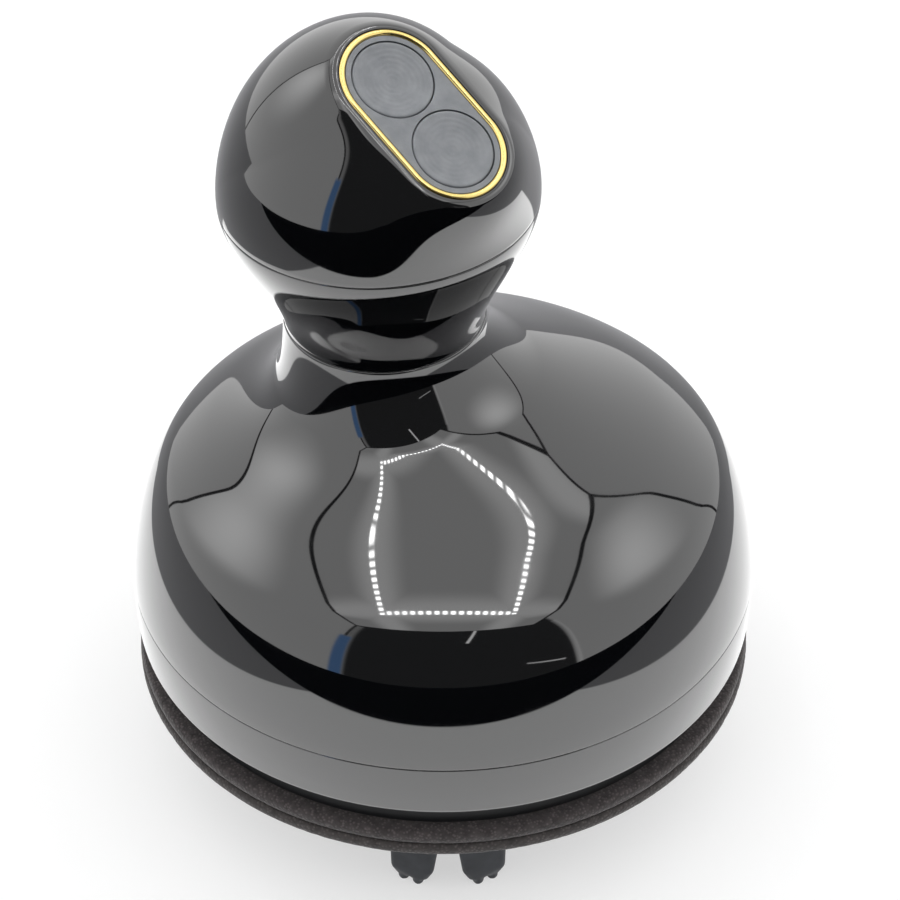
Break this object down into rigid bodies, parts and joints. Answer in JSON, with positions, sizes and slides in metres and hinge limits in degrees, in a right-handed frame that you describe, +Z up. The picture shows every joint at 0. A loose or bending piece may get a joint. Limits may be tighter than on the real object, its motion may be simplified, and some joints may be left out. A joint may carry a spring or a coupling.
{
  "type": "electric scalp massager",
  "caption": "Cordless scalp massager: domed casing with a leaning ball handle, an oval key panel, a foam skirt and geared claw hands that sweep in small circles underneath.",
  "frame": {"origin": "on the surface the claw tips stand on, below the axis of the domed casing", "axes": "+Z up along the casing's axis, -Y towards the side that the button panel faces, -X the way the handle leans"},
  "size_m": [0.1048, 0.1048, 0.1355],
  "materials": {
    "gloss_black": "polished",
    "matt_black": "fine spark texture",
    "seal_rubber": "smooth",
    "foam": "closed-cell foam, fine grain",
    "skirt_rubber": "closed-cell foam, fine grain",
    "trim_gold": "satin plated",
    "soft_touch": "soft-touch coating",
    "board": "solder mask",
    "bush_brass": "turned",
    "contact_gold": "plated",
    "gear_resin": "moulded acetal",
    "claw_silicone": "moulded silicone, matt",
    "cell_sleeve": "shrink sleeve",
    "steel": "zinc plated"
  },
  "bodies": {
    "housing": {"dome_shell": "gloss_black", "band_ring": "gloss_black", "base_tray": "matt_black", "casing_seal": "seal_rubber", "skirt_foam": "foam", "skirt_edge": "skirt_rubber", "handle_lower_shell": "gloss_black", "handle_upper_shell": "gloss_black", "panel_trim": "trim_gold", "panel_plate": "soft_touch", "button_board": "board", "key_switches": "steel", "button_board_screws": "steel", "neck_screws": "steel", "casing_screws": "steel", "gear_cover": "matt_black", "cover_screws": "steel", "output_bushes": "bush_brass", "geared_motor": "steel", "motor_screws": "steel", "battery_cell": "cell_sleeve", "battery_cradle": "matt_black", "main_board": "board", "main_board_screws": "steel", "charge_contacts": "contact_gold"},
    "drive": {"motor_shaft": "steel", "centre_gear": "gear_resin"},
    "output_back_right": {"gear_back_right": "gear_resin", "crank_back_right": "steel", "hub_screw_back_right": "steel"},
    "hand_back_right": {"hub_back_right": "matt_black", "claws_back_right": "claw_silicone"},
    "output_back_left": {"gear_back_left": "gear_resin", "crank_back_left": "steel", "hub_screw_back_left": "steel"},
    "hand_back_left": {"hub_back_left": "matt_black", "claws_back_left": "claw_silicone"},
    "output_front_left": {"gear_front_left": "gear_resin", "crank_front_left": "steel", "hub_screw_front_left": "steel"},
    "hand_front_left": {"hub_front_left": "matt_black", "claws_front_left": "claw_silicone"},
    "output_front_right": {"gear_front_right": "gear_resin", "crank_front_right": "steel", "hub_screw_front_right": "steel"},
    "hand_front_right": {"hub_front_right": "matt_black", "claws_front_right": "claw_silicone"},
    "power_button": {"power_key": "soft_touch"},
    "mode_button": {"mode_key": "soft_touch"}
  },
  "joints": [
    {"name": "drive_spin", "type": "hinge", "parent": "housing", "child": "drive", "pos_m": [0, 0, 0.0324], "axis": [0, 0, 1], "continuous": true},
    {"name": "output_spin_back_right", "type": "hinge", "parent": "housing", "child": "output_back_right", "pos_m": [0.0181, 0.0181, 0.027], "axis": [0, 0, 1], "continuous": true},
    {"name": "hand_sweep_back_right", "type": "hinge", "parent": "output_back_right", "child": "hand_back_right", "pos_m": [0.0192, 0.02035, 0.016], "axis": [0, 0, 1], "continuous": true},
    {"name": "output_spin_back_left", "type": "hinge", "parent": "housing", "child": "output_back_left", "pos_m": [-0.0181, 0.0181, 0.027], "axis": [0, 0, 1], "continuous": true},
    {"name": "hand_sweep_back_left", "type": "hinge", "parent": "output_back_left", "child": "hand_back_left", "pos_m": [-0.02035, 0.0192, 0.016], "axis": [0, 0, 1], "continuous": true},
    {"name": "output_spin_front_left", "type": "hinge", "parent": "housing", "child": "output_front_left", "pos_m": [-0.0181, -0.0181, 0.027], "axis": [0, 0, 1], "continuous": true},
    {"name": "hand_sweep_front_left", "type": "hinge", "parent": "output_front_left", "child": "hand_front_left", "pos_m": [-0.0192, -0.02035, 0.016], "axis": [0, 0, 1], "continuous": true},
    {"name": "output_spin_front_right", "type": "hinge", "parent": "housing", "child": "output_front_right", "pos_m": [0.0181, -0.0181, 0.027], "axis": [0, 0, 1], "continuous": true},
    {"name": "hand_sweep_front_right", "type": "hinge", "parent": "output_front_right", "child": "hand_front_right", "pos_m": [0.02035, -0.0192, 0.016], "axis": [0, 0, 1], "continuous": true},
    {"name": "power_press", "type": "slide", "parent": "housing", "child": "power_button", "axis": [0.1504, 0.5691, -0.8084], "range_m": [0, 0.0005], "stiffness_N_per_m": 800},
    {"name": "mode_press", "type": "slide", "parent": "housing", "child": "mode_button", "axis": [0.1504, 0.5691, -0.8084], "range_m": [0, 0.0005], "stiffness_N_per_m": 800}
  ],
  "couplings": [
    {"joint": "output_spin_back_right", "follows": "drive_spin", "ratio": -0.77778},
    {"joint": "hand_sweep_back_right", "follows": "drive_spin", "ratio": 0.77778},
    {"joint": "output_spin_back_left", "follows": "drive_spin", "ratio": -0.77778},
    {"joint": "hand_sweep_back_left", "follows": "drive_spin", "ratio": 0.77778},
    {"joint": "output_spin_front_left", "follows": "drive_spin", "ratio": -0.77778},
    {"joint": "hand_sweep_front_left", "follows": "drive_spin", "ratio": 0.77778},
    {"joint": "output_spin_front_right", "follows": "drive_spin", "ratio": -0.77778},
    {"joint": "hand_sweep_front_right", "follows": "drive_spin", "ratio": 0.77778}
  ]
}
